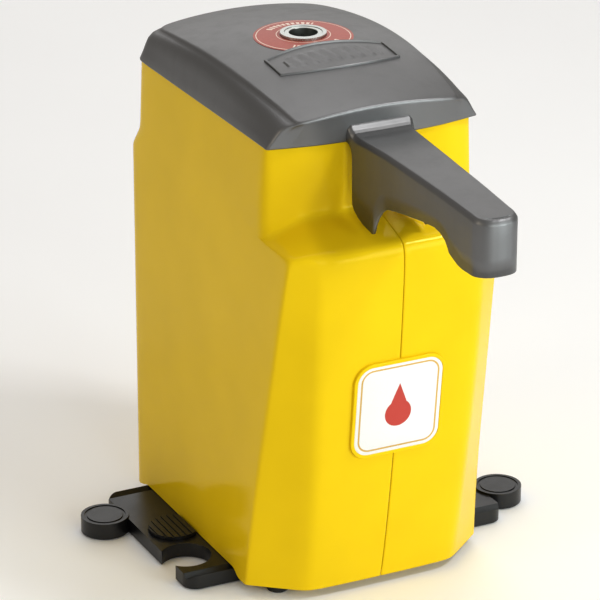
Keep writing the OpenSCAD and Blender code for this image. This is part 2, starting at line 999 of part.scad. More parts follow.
module spigot_seal() {
  color(rubber) o_ring(spigot_r, 1.15, block_bottom - 9);
}

module tube_section() {
  difference() {
    circle(r = tube_r);
    circle(r = tube_bore_r);
  }
}

module tube_bend(y, turn) {
  translate([0, y, tube_z - elbow_r])
    rotate([90, 0, 90])
      rotate([0, 0, turn])
        rotate_extrude(angle = 90) translate([elbow_r, 0]) tube_section();
}

// The tube rises, runs forward and turns down
module discharge_tube() {
  run_rear = riser_y - elbow_r;
  run_front = outlet_y + elbow_r;
  bend_z = tube_z - elbow_r;
  color(steel)
    union() {
      translate([0, riser_y, riser_base]) linear_extrude(bend_z - riser_base) tube_section();
      tube_bend(run_rear, 0);
      translate([0, run_rear, tube_z])
        rotate([90, 0, 0]) linear_extrude(run_rear - run_front) tube_section();
      tube_bend(run_front, 90);
      translate([0, outlet_y, tube_end_z]) linear_extrude(bend_z - tube_end_z) tube_section();
    }
}

module tube_nut() {
  color(lid_grey)
    translate([0, riser_y, riser_base])
      difference() {
        cylinder(r = tube_r + 4, h = 10, $fn = 6);
        translate([0, 0, -eps]) cylinder(r = tube_r, h = 11);
      }
}

module nozzle_tip() {
  color(black)
    translate([0, outlet_y, nozzle_bottom])
      difference() {
        cylinder(r = nozzle_r, h = nozzle_len);
        translate([0, 0, 4]) cylinder(r = tube_r, h = far);
        translate([0, 0, -eps]) cylinder(r = tube_bore_r - 0.5, h = far);
      }
}

module nozzle_seal() {
  color(rubber)
    translate([0, outlet_y, 0]) o_ring(tube_r + 1, 1, nozzle_bottom + nozzle_len + 1);
}

module tube_clip() {
  color(lid_grey)
    difference() {
      translate([-slot_half + 0.3, -neck_front, slot_bottom + 0.3])
        cube([2 * slot_half - 0.6, shell_wall + 4, tube_z - slot_bottom + 1]);
      translate([0, 0, tube_z]) rotate([90, 0, 0]) cylinder(r = tube_r, h = far);
    }
}

// ---- tray and label ----

function tray_z(y) =
  tray_front_z + (tray_rear_z - tray_front_z) * (y - tray_front) / (tray_rear - tray_front);

module pouch_tray() {
  hw = half_w(tray_front_z + 30) - shell_wall - tray_side_gap;
  color(clear_grey)
    intersection() {
      across_x(2 * hw)
        polygon([
          [tray_front, tray_front_z], [tray_rear, tray_rear_z],
          [tray_rear, tray_rear_z + 12], [tray_rear - tray_t, tray_rear_z + 12],
          [tray_rear - tray_t, tray_rear_z + tray_t], [tray_front, tray_front_z + tray_t]]);
      // the front corners follow the facets of the body
      linear_extrude(far)
        polygon([
          [-hw, tray_rear + 1], [-hw, tray_front + facet_foot.y],
          [-hw + facet_foot.x, tray_front], [hw - facet_foot.x, tray_front],
          [hw, tray_front + facet_foot.y], [hw, tray_rear + 1]]);
    }
}

// Places children on the front face, which leans back towards the foot
module on_label() {
  translate([0, label_base_y, label_z]) rotate([90 + label_lean, 0, 0]) children();
}

module label_outline(grow) {
  w = label_w + 2 * grow;
  h = label_h + 2 * grow;
  r = label_corner + grow;
  union() {
    square([w - 2 * r, h], center = true);
    square([w, h - 2 * r], center = true);
    for (x = [-1, 1], y = [-1, 1])
      translate([x * (w / 2 - r), y * (h / 2 - r)]) circle(r = r);
  }
}

module label_seat() {
  on_label() linear_extrude(20) label_outline(0);
}

module label_frame() {
  color(yellow)
    on_label()
      difference() {
        linear_extrude(frame_t) label_outline(0);
        translate([0, 0, frame_t - card_t - 0.4]) linear_extrude(10) label_outline(-frame_rim);
      }
}

module label_card() {
  color("white")
    on_label()
      translate([0, 0, frame_t - card_t - 0.4]) linear_extrude(card_t) label_outline(-frame_rim);
}

body_left_shell();
body_right_shell();
shell_screws();
base_plate();
base_feet();
base_screws();
front_feet();
release_pad_left();
release_pad_right();
pad_spring_left();
pad_spring_right();
hinge_pin();
lid_cover();
lid_crest();
button_bezel();
button_ring_label();
cup_guide();
push_cup();
cup_retainer();
pump_deck();
deck_screws();
pump_cylinder();
cylinder_cap();
rod_seal();
plunger_rod();
piston();
piston_seal();
plunger_spring();
valve_block();
inlet_seat();
inlet_ball();
outlet_seat();
outlet_ball();
suction_spigot();
spigot_seal();
discharge_tube();
tube_nut();
nozzle_tip();
nozzle_seal();
tube_clip();
pouch_tray();
label_frame();
label_card();
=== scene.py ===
import bpy, bmesh, json
from mathutils import Matrix, Vector
from math import atan2, cos, pi, radians, sin, sqrt


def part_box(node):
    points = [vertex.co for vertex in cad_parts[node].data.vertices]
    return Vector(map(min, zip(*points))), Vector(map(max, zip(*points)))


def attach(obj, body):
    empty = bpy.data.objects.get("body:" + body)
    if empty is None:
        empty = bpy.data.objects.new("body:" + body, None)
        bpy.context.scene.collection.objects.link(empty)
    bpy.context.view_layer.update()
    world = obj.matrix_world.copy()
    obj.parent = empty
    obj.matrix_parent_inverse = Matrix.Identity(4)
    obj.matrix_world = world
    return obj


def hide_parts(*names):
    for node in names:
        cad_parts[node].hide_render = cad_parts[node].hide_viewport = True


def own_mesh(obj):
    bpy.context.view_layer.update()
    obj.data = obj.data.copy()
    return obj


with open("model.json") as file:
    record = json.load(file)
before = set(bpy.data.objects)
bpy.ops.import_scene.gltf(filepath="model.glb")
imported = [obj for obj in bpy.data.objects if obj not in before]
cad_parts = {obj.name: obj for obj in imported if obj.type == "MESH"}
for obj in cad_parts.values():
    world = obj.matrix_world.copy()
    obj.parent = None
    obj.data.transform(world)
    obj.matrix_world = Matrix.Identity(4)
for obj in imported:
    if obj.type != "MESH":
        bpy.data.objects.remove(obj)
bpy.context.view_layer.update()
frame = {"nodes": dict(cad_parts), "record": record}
mm = 0.001
print("stage: frame loaded")


class Wire:
    # a socket that can be used in an expression
    def __init__(self, shop, socket):
        self.shop, self.socket = shop, socket

    def maths(self, operation, *others):
        terms = dict(enumerate((self,) + others))
        return self.shop.add("ShaderNodeMath", {"operation": operation}, terms)

    def __add__(self, other):
        return self.maths("ADD", other)

    def __radd__(self, other):
        return self.maths("ADD", other)

    def __sub__(self, other):
        return self.maths("SUBTRACT", other)

    def __rsub__(self, other):
        return self.shop.add("ShaderNodeMath", {"operation": "SUBTRACT"}, {0: other, 1: self})

    def __mul__(self, other):
        return self.maths("MULTIPLY", other)

    def __rmul__(self, other):
        return self.maths("MULTIPLY", other)

    def __lt__(self, other):
        return self.maths("LESS_THAN", other)

    def __gt__(self, other):
        return self.maths("GREATER_THAN", other)

    def __abs__(self):
        return self.maths("ABSOLUTE")

    def root(self):
        return self.maths("SQRT")

    def larger(self, other):
        return self.maths("MAXIMUM", other)


class Shop:
    # one material and the nodes in it
    def __init__(self, name):
        self.material = bpy.data.materials.new(name)
        self.material.use_nodes = True
        self.tree = self.material.node_tree
        self.shader = self.tree.nodes["Principled BSDF"]
        self.place = self.add("ShaderNodeTexCoord", {}, {}, "Object")

    def add(self, kind, settings, inputs, out=0):
        node = self.tree.nodes.new(kind)
        for key, value in settings.items():
            setattr(node, key, value)
        for key, value in inputs.items():
            self.feed(node.inputs[key], value)
        return Wire(self, node.outputs[out])

    def feed(self, socket, value):
        if isinstance(value, Wire):
            self.tree.links.new(value.socket, socket)
        else:
            socket.default_value = value

    def set(self, **values):
        for key, value in values.items():
            self.feed(self.shader.inputs[key.replace("_", " ")], value)

    def noise(self, scale, detail=3.0, rough=0.5, stretch=(1, 1, 1)):
        spot = self.add("ShaderNodeMapping", {}, {"Vector": self.place, "Scale": stretch})
        inputs = {"Vector": spot, "Scale": scale, "Detail": detail, "Roughness": rough}
        return self.add("ShaderNodeTexNoise", {}, inputs)

    def mix(self, factor, low, high):
        return self.add("ShaderNodeMix", {"data_type": "RGBA"}, {0: factor, 6: low, 7: high}, 2)

    def spread(self, value, lowIn, highIn, lowOut=0.0, highOut=1.0):
        inputs = {0: value, 1: lowIn, 2: highIn, 3: lowOut, 4: highOut}
        return self.add("ShaderNodeMapRange", {}, inputs)

    def xyz(self):
        split = self.add("ShaderNodeSeparateXYZ", {}, {0: self.place})
        return [Wire(self, output) for output in split.socket.node.outputs]

    def bump(self, height, strength, distance):
        inputs = {"Height": height, "Strength": strength, "Distance": distance}
        normal = self.add("ShaderNodeBump", {}, inputs)
        self.set(Normal=normal)
        return self


def shade(colour, factor):
    return tuple(min(1, c * factor) for c in colour) + (1,)


finishes = {
    "bodyYellow": {"colour": (0.77, 0.53, 0.012), "rough": 0.10, "specular": 0.15,
                   "tint": (1.0, 0.85, 0.30), "metal": 0.0, "grain": 0.04},
    "lidGrey": {"colour": (0.185, 0.185, 0.188), "rough": 0.42, "specular": 0.5,
                "tint": (1, 1, 1), "metal": 0.9, "grain": 0.12},
    "baseBlack": {"colour": (0.010, 0.010, 0.011), "rough": 0.30, "specular": 0.5,
                  "tint": (1, 1, 1), "metal": 0.0, "grain": 0.22},
    "pumpWhite": {"colour": (0.66, 0.70, 0.70), "rough": 0.32, "specular": 0.5,
                  "tint": (1, 1, 1), "metal": 0.0, "grain": 0.10},
    "nozzleBlack": {"colour": (0.02, 0.02, 0.021), "rough": 0.30, "specular": 0.5,
                    "tint": (1, 1, 1), "metal": 0.0, "grain": 0.10},
    "darkRubber": {"colour": (0.022, 0.022, 0.022), "rough": 0.72, "specular": 0.35,
                   "tint": (1, 1, 1), "metal": 0.0, "grain": 0.40},
}


def mouldedPlastic(name):
    # smooth moulded plastic: faint cloudy tone, handling marks in the gloss, fine grain
    look = finishes[name]
    shop = Shop(name)
    cloud = shop.noise(14, 2)
    marks = shop.noise(60, 6, 0.65, (1, 1, 0.35))
    speck = shop.noise(2600, 2)
    tone = shop.spread(cloud, 0.3, 0.7)
    shop.set(Base_Color=shop.mix(tone, shade(look["colour"], 0.965), shade(look["colour"], 1.03)))
    smear = shop.spread(marks, 0.45, 0.75)
    shop.set(Roughness=look["rough"] + 0.07 * smear + 0.02 * speck)
    shop.set(Metallic=look["metal"], Specular_IOR_Level=look["specular"], Specular_Tint=look["tint"] + (1,))
    return shop.bump(speck + 0.6 * marks, look["grain"], 0.0002)


def brushedMetal(name, colour, rough, stretch=(1, 1, 12)):
    shop = Shop(name)
    lines = shop.noise(900, 3, 0.6, stretch)
    cloud = shop.noise(40, 3)
    shop.set(Base_Color=shop.mix(shop.spread(cloud, 0.3, 0.7), shade(colour, 0.9), shade(colour, 1.05)))
    shop.set(Metallic=1.0, Roughness=rough + 0.12 * lines + 0.08 * shop.spread(cloud, 0.4, 0.8))
    return shop.bump(lines, 0.12, 0.0001)


print("stage: shader tools ready")
materials = {name: mouldedPlastic(name).material for name in finishes}
materials["steel"] = brushedMetal("steel", (0.62, 0.63, 0.64), 0.22).material
materials["brightRing"] = brushedMetal("brightRing", (0.46, 0.48, 0.46), 0.2, (1, 1, 1)).material


def finishMesh(mesh, sharpAngle):
    mesh.shade_smooth()
    mesh.set_sharp_from_angle(angle=radians(sharpAngle))


def place(bm, name, material, body, nodes=(), sharp=35, modifiers=()):
    # makes a piece from a bmesh and lets it ride on its body
    mesh = bpy.data.meshes.new(name)
    bm.to_mesh(mesh)
    bm.free()
    mesh.materials.append(material)
    finishMesh(mesh, sharp)
    piece = bpy.data.objects.new(name, mesh)
    bpy.context.scene.collection.objects.link(piece)
    for kind, settings in modifiers:
        modifier = piece.modifiers.new(kind.lower(), kind)
        for key, value in settings.items():
            setattr(modifier, key, value)
    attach(piece, body)
    if nodes:
        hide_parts(*nodes)
    return piece


def bodyOf(node):
    return next(b for b, nodes in frame["record"]["behaviour"]["bodies"].items() if node in nodes)


def subsurf(levels):
    return ("SUBSURF", {"levels": levels, "render_levels": levels})


def wall(thickness, offset=-1.0):
    return ("SOLIDIFY", {"thickness": thickness, "offset": offset, "use_even_offset": True})


def bevelAll(bm, width, segments=2, angle=30):
    # rounds every edge that is sharper than the angle
    edges = [e for e in bm.edges if e.is_manifold and e.calc_face_angle() > radians(angle)]
    bmesh.ops.bevel(bm, geom=edges, offset=width, offset_type="OFFSET", segments=segments, profile=0.5,
                    affect="EDGES", clamp_overlap=True, material=-1)


def roundedCopy(node, width, segments=2, angle=32):
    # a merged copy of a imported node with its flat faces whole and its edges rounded
    bm = bmesh.new()
    bm.from_mesh(frame["nodes"][node].data)
    bmesh.ops.remove_doubles(bm, verts=bm.verts, dist=2e-6)
    bmesh.ops.dissolve_limit(bm, angle_limit=radians(0.4), verts=bm.verts, edges=bm.edges)
    if width:
        bevelAll(bm, width, segments, angle)
    bmesh.ops.triangulate(bm, faces=[f for f in bm.faces if len(f.verts) > 4])
    return bm


def blend1d(table, at):
    # reads a value between the rows of a two-column table
    table = sorted(table)
    if at <= table[0][0]:
        return table[0][1]
    for (a, va), (b, vb) in zip(table, table[1:]):
        if at <= b:
            return va + (vb - va) * (at - a) / (b - a)
    return table[-1][1]


def lerp(a, b, t):
    return a + (b - a) * t


def loft(rows, closed=False):
    # rows of points joined by extruding the first row's edge chain
    bm = bmesh.new()
    first = [bm.verts.new(p) for p in rows[0]]
    follows = first[1:] + first[:1] if closed else first[1:]
    edges = [bm.edges.new(pair) for pair in zip(first, follows)]
    layer = first
    for row in rows[1:]:
        made = bmesh.ops.extrude_edge_only(bm, edges=edges)["geom"]
        edges = [e for e in made if isinstance(e, bmesh.types.BMEdge)]
        new = {v for v in made if isinstance(v, bmesh.types.BMVert)}
        # the new points come in no set order, so each is matched to the point below it
        fresh = []
        for old in layer:
            fresh.append(next(e.other_vert(old) for e in old.link_edges if e.other_vert(old) in new))
        for v, p in zip(fresh, row):
            v.co = p
        layer = fresh
    return bm


# sizes in millimetres, unless a note says otherwise
bodyShape = {
    "seam": 378, "seamHalf": 88.5, "lean": 0.04324,
    "skirt": 8, "notchTop": 13.6, "notchHalf": 86.2,
    "shoulder": 302, "neckFoot": 320, "neckRear": 128.3, "rearCorner": 14,
    "slotHalf": 15.4, "slotFoot": 345.5, "seamStep": 2.5,
    # in metres
    "wall": 0.003, "grooveWidth": 0.00012, "grooveDepth": 0.0010, "grooveEdge": 0.0004,
    "heights": (8, 9.2, 13.5, 24, 60, 110, 160, 210, 250, 280, 294),
    "neckHeights": (330, 345.2, 362, 374, 377.4),
    # front line of the belly, rear line, and where the side facets start, all as (z, y)
    "front": [(8, -140.5), (34, -146.5), (72, -153), (109, -158), (160, -165), (212, -170), (255, -173),
              (285, -174.7), (300, -174.6)],
    "rear": [(8, 114), (302, 142)],
    "side": [(8, -107), (49, -111.5), (96, -119), (171, -134), (216, -142.5), (251, -149), (300, -160.5)],
}


def halfWidth(z):
    return bodyShape["seamHalf"] + bodyShape["lean"] * (bodyShape["seam"] - z)


def bodyColumns(z):
    # plan of the belly at height z, from the front seam round to the rear seam
    front, rear, side = (blend1d(bodyShape[k], z) for k in ("front", "rear", "side"))
    hw = halfWidth(z)
    edgeX = lerp(66, 69, min(1, z / 200))
    step, slot, notch = bodyShape["seamStep"], bodyShape["slotHalf"], bodyShape["notchHalf"]
    plan = [(0, front), (step, front), (slot, front), (36, front + 0.2), (57, front + 0.9)]
    a, b = Vector((edgeX, front + 2.6)), Vector((hw, side))
    plan += [tuple(a)] + [tuple(a.lerp(b, t)) for t in (0.26, 0.55, 0.90)] + [tuple(b)]
    plan += [(hw + 0.1, lerp(side, -notch, t)) for t in (0.12, 0.40, 0.70)]
    plan += [(hw, y) for y in (-notch, -80, -28, 28, 80, notch)]
    return plan + rearCorner(hw, rear)


def rearCorner(half, rear):
    # the rounded rear corner and the rear wall, out to the seam
    corner = bodyShape["rearCorner"]
    plan = [(half, rear - corner), (half - 1.2, rear - 6), (half - 6, rear - 1.2), (half - corner, rear)]
    return plan + [(x, rear) for x in (57, 25, bodyShape["seamStep"], 0)]


def bodyRows():
    rows = []
    for z in bodyShape["heights"]:
        row = []
        for (x, y) in bodyColumns(z):
            # the base plate passes under the skirt here
            notched = abs(y) < bodyShape["notchHalf"] + 0.1 and x > 90 and z < 24
            lifted = bodyShape["notchTop"] + (z - bodyShape["skirt"]) * 0.3
            row.append((x, y, max(z, lifted) if notched else z))
        rows.append(row)
    shoulder, low, rear = bodyShape["shoulder"], bodyShape["neckFoot"], bodyShape["neckRear"]
    step, slot = bodyShape["seamStep"], bodyShape["slotHalf"]
    belly = bodyColumns(shoulder)
    hw = halfWidth(shoulder)
    edge = [(x, y + 1.6, 305.8) for (x, y) in belly[:6]]
    edge += [(76.5, -168.6, 305.4), (82, -166.4, 304.8), (89.2, -162.6, 303.2), (hw, -159.6, shoulder)]
    edge += [(hw, y, shoulder) for y in (-150, -136, -123, -110, -98)]
    edge += [(x, y, shoulder) for (x, y) in belly[15:]]
    # the neck starts here: front, the saddle that dips to the side, then the rear step
    front = [(0, -127), (step, -127), (slot, -126.8), (36, -126.3), (54, -125.4)]
    foot = [(x, y, low) for x, y in front] + [(62, -124.4, 319.6)]
    foot += [(67.5, -123, 317.4), (73.5, -121, 314), (79.5, -118.9, 310.4), (84.4, -117, 307.4)]
    foot += [(87.8, -115.2, 305.2), (89.9, -112.9, 304.2), (91.2, -109.6, 304), (hw - 0.2, -104, 305)]
    foot += [(halfWidth(312), -95, 308)] + [(halfWidth(318), y, 318) for (x, y) in belly[15:18]]
    foot += [(halfWidth(low), 84, low)] + [(x, y, low) for x, y in rearCorner(halfWidth(low), rear)]
    rows += [edge]
    rows += [[tuple(Vector(a).lerp(Vector(b), t)) for a, b in zip(edge, foot)] for t in (0.20, 0.74)]
    rows += [foot]
    half = bodyShape["seamHalf"]
    top = front + [(61.5, -124.6), (66.5, -123.4), (72, -121.5), (77.5, -119.5), (82.3, -117.5), (86, -115.4)]
    top += [(87.9, -112.8)] + [(half, y) for y in (-108.6, -101, -92, -28, 28, 80, 84)]
    top += rearCorner(half, rear)
    for z in bodyShape["neckHeights"] + (bodyShape["seam"],):
        t = (z - low) / (bodyShape["seam"] - low)
        row = []
        for below, above in zip(foot, top):
            x = lerp(below[0], above[0], t)
            y = lerp(below[1], above[1], min(1, t * 3))
            row.append((x, y, max(z, below[2] + 8 * (z - low) / 10) if z < 345 else z))
        rows.append(row)
    return rows


def bodyHalf(side):
    rows = bodyRows()
    scaled = [[Vector((x * side, y, z)) * mm for (x, y, z) in row] for row in rows]
    # the seam edge turns in to leave a fine groove
    gap = bodyShape["grooveWidth"] * side
    for row in scaled:
        for i, inward in ((0, 1), (-1, -1)):
            row[i].x = gap
            row[i].y += bodyShape["grooveDepth"] * inward
        # a column close beside the seam keeps the groove narrow
        front, rear = row[1].copy(), row[-2].copy()
        front.x = rear.x = gap + bodyShape["grooveEdge"] * side
        row.insert(len(row) - 1, rear)
        row.insert(1, front)
    bm = loft(scaled)
    # slot for the discharge tube, open at the top
    slotFoot, slotHalf = bodyShape["slotFoot"] * mm, bodyShape["slotHalf"] * mm
    middles = {f: f.calc_center_median() for f in bm.faces}
    gone = [f for f, m in middles.items() if m.z > slotFoot and abs(m.x) < slotHalf and m.y < 0]
    bmesh.ops.delete(bm, geom=gone, context="FACES")
    bmesh.ops.recalc_face_normals(bm, faces=bm.faces)
    outside = max(bm.faces, key=lambda f: abs(f.calc_center_median().x))
    if outside.normal.x * side < 0:
        bmesh.ops.reverse_faces(bm, faces=bm.faces)
    name = "leftShell" if side < 0 else "rightShell"
    node = "body_left_shell" if side < 0 else "body_right_shell"
    return place(bm, name, materials["bodyYellow"], "root", [node], 60,
                 [subsurf(3), wall(bodyShape["wall"])])


for side in (-1, 1):
    bodyHalf(side)
print("stage: body shells")


def block(bm, low, high):
    # a box between two corners, in millimetres
    made = bmesh.ops.create_cube(bm, size=1)["verts"]
    low, high = Vector(low) * mm, Vector(high) * mm
    bmesh.ops.scale(bm, vec=high - low, verts=made)
    bmesh.ops.translate(bm, vec=(low + high) / 2, verts=made)


def rod(bm, start, end, radius, segments=32):
    # a round bar between two points, in millimetres
    start, end = Vector(start) * mm, Vector(end) * mm
    made = bmesh.ops.create_cone(bm, cap_ends=True, cap_tris=False, segments=segments, radius1=radius * mm,
                                 radius2=radius * mm, depth=(end - start).length)["verts"]
    turn = (end - start).to_track_quat("Z", "Y").to_matrix()
    bmesh.ops.rotate(bm, cent=(0, 0, 0), matrix=turn, verts=made)
    bmesh.ops.translate(bm, vec=(start + end) / 2, verts=made)


insideParts = {
    "ledgeTop": 338, "ledgeDrop": 12, "ledgeWide": 14, "ledgeFront": -78, "ledgeRear": 38,
    "floorLow": 13, "floorHigh": 16, "floorBossTop": 27, "floorBossX": 70, "floorBossY": 60,
    "ledgeIn": 1.5, "bossRadius": 6, "bossLong": 13, "ribHalf": 2, "ribFront": 7, "ribRear": 5,
    "floorPlanAt": 14, "floorIn": 2.4, "floorShrink": 0.983, "floorSideFrom": 60,
    # across the seam, as (y, z)
    "seamBosses": ((-130, 60), (-162, 272), (108, 50), (133, 282)),
}


def bodyInside():
    # ledges, bosses and floor that belong to the shells
    bm = bmesh.new()
    ledgeTop, long, half = insideParts["ledgeTop"], insideParts["bossLong"], insideParts["ribHalf"]
    hw = halfWidth(ledgeTop) - insideParts["ledgeIn"]
    for s in (-1, 1):
        xs = sorted((s * hw, s * (hw - insideParts["ledgeWide"])))
        block(bm, (xs[0], insideParts["ledgeFront"], ledgeTop - insideParts["ledgeDrop"]),
              (xs[1], insideParts["ledgeRear"], ledgeTop))
        for y in (-insideParts["floorBossY"], insideParts["floorBossY"]):
            foot = Vector((s * insideParts["floorBossX"], y, insideParts["floorHigh"]))
            top = Vector((foot.x, y, insideParts["floorBossTop"]))
            rod(bm, foot, top, insideParts["bossRadius"])
    for y, z in insideParts["seamBosses"]:
        rod(bm, (-long, y, z), (long, y, z), insideParts["bossRadius"])
        ys = sorted((y, y - insideParts["ribFront"] if y < 0 else y + insideParts["ribRear"]))
        block(bm, (-long, ys[0], z - half), (long, ys[1], z + half))
    bevelAll(bm, 0.0006)
    place(bm, "innerRibs", materials["bodyYellow"], "root")

    bm = bmesh.new()
    inset, shrink = insideParts["floorIn"], insideParts["floorShrink"]
    plan = [(x, y) for (x, y) in bodyColumns(insideParts["floorPlanAt"]) if x > 1]
    ring = [(x - inset if x > insideParts["floorSideFrom"] else x, y * shrink) for x, y in plan]
    ring += [(-x, y) for x, y in reversed(ring)]
    verts = [bm.verts.new((x * mm, y * mm, insideParts["floorLow"] * mm)) for x, y in ring]
    face = bm.faces.new(verts)
    up = bmesh.ops.extrude_face_region(bm, geom=[face])["geom"]
    lift = (insideParts["floorHigh"] - insideParts["floorLow"]) * mm
    bmesh.ops.translate(bm, vec=(0, 0, lift), verts=[v for v in up if isinstance(v, bmesh.types.BMVert)])
    bmesh.ops.recalc_face_normals(bm, faces=bm.faces)
    place(bm, "shellFloor", materials["bodyYellow"], "root")


hinge = {"y": 135.5, "z": 380.0, "radius": 5.5, "pitch": 22.0, "gap": 0.5,
         "bodyPlaces": (-2, 0, 2), "lidPlaces": (-1, 1),
         "bodyLeafFront": 127.6, "bodyLeafDrop": 16, "bodyLeafTop": 2, "lidLeafFront": 124}


def knuckles(places, name, material, body, below):
    bm = bmesh.new()
    for i in places:
        low = (i - 0.5) * hinge["pitch"] + hinge["gap"]
        high = (i + 0.5) * hinge["pitch"] - hinge["gap"]
        rod(bm, (low, hinge["y"], hinge["z"]), (high, hinge["y"], hinge["z"]), hinge["radius"])
        if below:
            block(bm, (low, hinge["bodyLeafFront"], hinge["z"] - hinge["bodyLeafDrop"]),
                  (high, hinge["y"], hinge["z"] - hinge["bodyLeafTop"]))
        else:
            block(bm, (low, hinge["lidLeafFront"], hinge["z"]),
                  (high, hinge["y"], hinge["z"] + hinge["radius"]))
    bevelAll(bm, 0.0005)
    return place(bm, name, material, body)


bodyInside()
knuckles(hinge["bodyPlaces"], "bodyKnuckles", materials["bodyYellow"], "root", True)
knuckles(hinge["lidPlaces"], "lidKnuckles", materials["lidGrey"], "lid", False)
print("stage: inside of the shells")


lidShape = {
    "crownZ": 422.5, "longRadius": 520.0, "crossRadius": 394.0, "flatFrom": 42.0, "flatBy": 0.0003,
    "wall": 0.0026, "ridgeRound": 2.6, "ridgeSteps": 5, "hole": 16.9, "bottom": 378.5,
    "lip": 0.8, "lipGrow": 1.0005, "swellFull": 11,
    # shares of the way from the ridge to the hole
    "crownSteps": (0.06, 0.14, 0.24, 0.35, 0.46, 0.57, 0.68, 0.78, 0.87, 0.94, 1.0),
    # how far the side stands out, as (share of its height, distance)
    "swell": ((0.25, 1.6), (0.5, 3.6), (0.72, 5.0), (0.88, 4.4), (0.96, 2.2)),
    # half plans from the front middle to the rear middle
    "rim": [(0, -130.6), (30, -130.2), (52, -128.6), (68, -125.6), (86, -121.8), (91, -120.6),
            (90.4, -112), (90, -60), (90, 0), (90, 60), (90, 108), (89.2, 122), (82, 129.2),
            (64, 129.5), (30, 129.5), (0, 129.5)],
    "ridge": [(0, -133.4), (30, -133.3), (50, -133), (60, -132.4), (66.6, -131), (69, -127.4),
              (70.6, -117), (76.4, -66), (79.2, -14), (78.6, 52), (74.5, 100), (72, 116), (66, 123),
              (54, 124), (26, 124), (0, 124)],
}


def crownAt(x, y, rise=0.0):
    # the crown is part of a ring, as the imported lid's is
    ring = lidShape["longRadius"] - lidShape["crossRadius"]
    r = ring + sqrt((lidShape["crossRadius"] + rise) ** 2 - x * x)
    flatter = lidShape["flatBy"] * max(0.0, y - lidShape["flatFrom"]) ** 2
    return lidShape["crownZ"] - lidShape["longRadius"] + sqrt(r * r - y * y) + flatter


def cutCorners(points, rounds):
    # each pass trims the corners of a closed outline
    for _ in range(rounds):
        nextPoints = []
        for a, b in zip(points, points[1:] + points[:1]):
            a, b = Vector(a), Vector(b)
            nextPoints += [tuple(a.lerp(b, 0.25)), tuple(a.lerp(b, 0.75))]
        points = nextPoints
    return points


def wholePlan(half):
    return half + [(-x, y) for x, y in reversed(half[1:-1])]


def lidCover():
    rim = cutCorners(wholePlan(lidShape["rim"]), 3)
    ridge = cutCorners(wholePlan(lidShape["ridge"]), 3)
    lipTop = lidShape["bottom"] + lidShape["lip"]
    rows = [[(x, y, lidShape["bottom"]) for x, y in rim]]
    rows.append([(x * lidShape["lipGrow"], y * lidShape["lipGrow"], lipTop) for x, y in rim])
    ringBack = []
    for (x, y), (u, v) in zip(rim, ridge):
        top = Vector((u, v, crownAt(u, v)))
        low = Vector((x, y, lipTop))
        before = top + (low - top).normalized() * lidShape["ridgeRound"]
        inward = Vector((u, v))
        inward = inward * (1 - lidShape["ridgeRound"] / inward.length)
        after = Vector((inward.x, inward.y, crownAt(inward.x, inward.y)))
        ringBack.append((low, before, top, after))
    for t, swell in lidShape["swell"]:
        row = []
        for (low, before, top, after), (x, y), (u, v) in zip(ringBack, rim, ridge):
            # the sides and rear swell outwards under the ridge, the front band stays flat
            out = Vector((x - u, y - v, 0))
            share = min(1, out.length / lidShape["swellFull"]) * (1 if out.dot(Vector((x, y, 0))) > 0 else 0)
            spot = low.lerp(before, t) + out.normalized() * swell * share
            row.append(tuple(spot))
        rows.append(row)
    for i in range(lidShape["ridgeSteps"] + 1):
        t = i / lidShape["ridgeSteps"]
        rows.append([tuple(b.lerp(c, t).lerp(c.lerp(a, t), t)) for low, b, c, a in ringBack])
    turns = [atan2(p[3].y, p[3].x) for p in ringBack]
    for t in lidShape["crownSteps"]:
        row = []
        for (low, before, top, after), turn in zip(ringBack, turns):
            x = lerp(after.x, lidShape["hole"] * cos(turn), t)
            y = lerp(after.y, lidShape["hole"] * sin(turn), t)
            row.append((x, y, crownAt(x, y)))
        rows.append(row)
    bm = loft([[Vector(p) * mm for p in row] for row in rows], closed=True)
    bmesh.ops.recalc_face_normals(bm, faces=bm.faces)
    if max(bm.faces, key=lambda f: f.calc_center_median().z).normal.z < 0:
        bmesh.ops.reverse_faces(bm, faces=bm.faces)
    return place(bm, "lidCover", materials["lidGrey"], "lid", ["lid_cover"], 50,
                 [wall(lidShape["wall"])])


shroudShape = {
    "wall": 0.0025, "bevelIn": 3.0, "bevelDrop": 3.6, "crown": 0.12,
    "nose": -322, "noseCorner": 14.0, "noseHalf": 18.05, "noseSteps": 8, "noseFlat": 3.5,
    "noseBulge": 0.2, "leastWall": 6, "topIn": 0.9, "shares": (0, 0.35, 0.7),
    # along the spout, as (y, value): half width, top height and lower edge
    "half": [(-322, 18), (-302, 18.1), (-282, 18.8), (-262, 19.6), (-242, 20.4), (-222, 21.2),
             (-202, 22.2), (-182, 23), (-162, 24.4), (-150, 25.4), (-142, 26.1), (-138, 26.6),
             (-135, 27.1), (-132, 27.8), (-129.8, 28.4)],
    "top": [(-322, 376.6), (-302, 378), (-282, 379.4), (-262, 380.7), (-242, 381.7), (-222, 382.6),
            (-202, 383.5), (-182, 384.3), (-162, 384.6), (-150, 384.6), (-144, 384.8), (-140, 385.5),
            (-137.4, 386.5), (-135.4, 388.2), (-133.8, 390.6), (-132.4, 392.2), (-129.8, 392.6)],
    "low": [(-322, 333), (-312, 332.4), (-296, 332.4), (-289, 333.6), (-280, 337.2), (-277, 338.8),
            (-275.5, 341.2), (-271, 346.4), (-264, 350.0), (-256, 351.4), (-240, 350.2), (-220, 347.6),
            (-200, 344.6), (-190, 342.8), (-184, 340.6), (-178.5, 336.4), (-173.5, 330.2),
            (-169.6, 322.6), (-167.4, 315.6), (-166.4, 315.2), (-160, 316.6), (-152, 318.8),
            (-145, 322.2), (-140, 326.2), (-137.9, 330), (-137.5, 336), (-137.4, 350), (-137.3, 366),
            (-136.8, 371), (-135.6, 374.4), (-133.6, 377), (-131.6, 378.2), (-129.8, 378.4)],
}


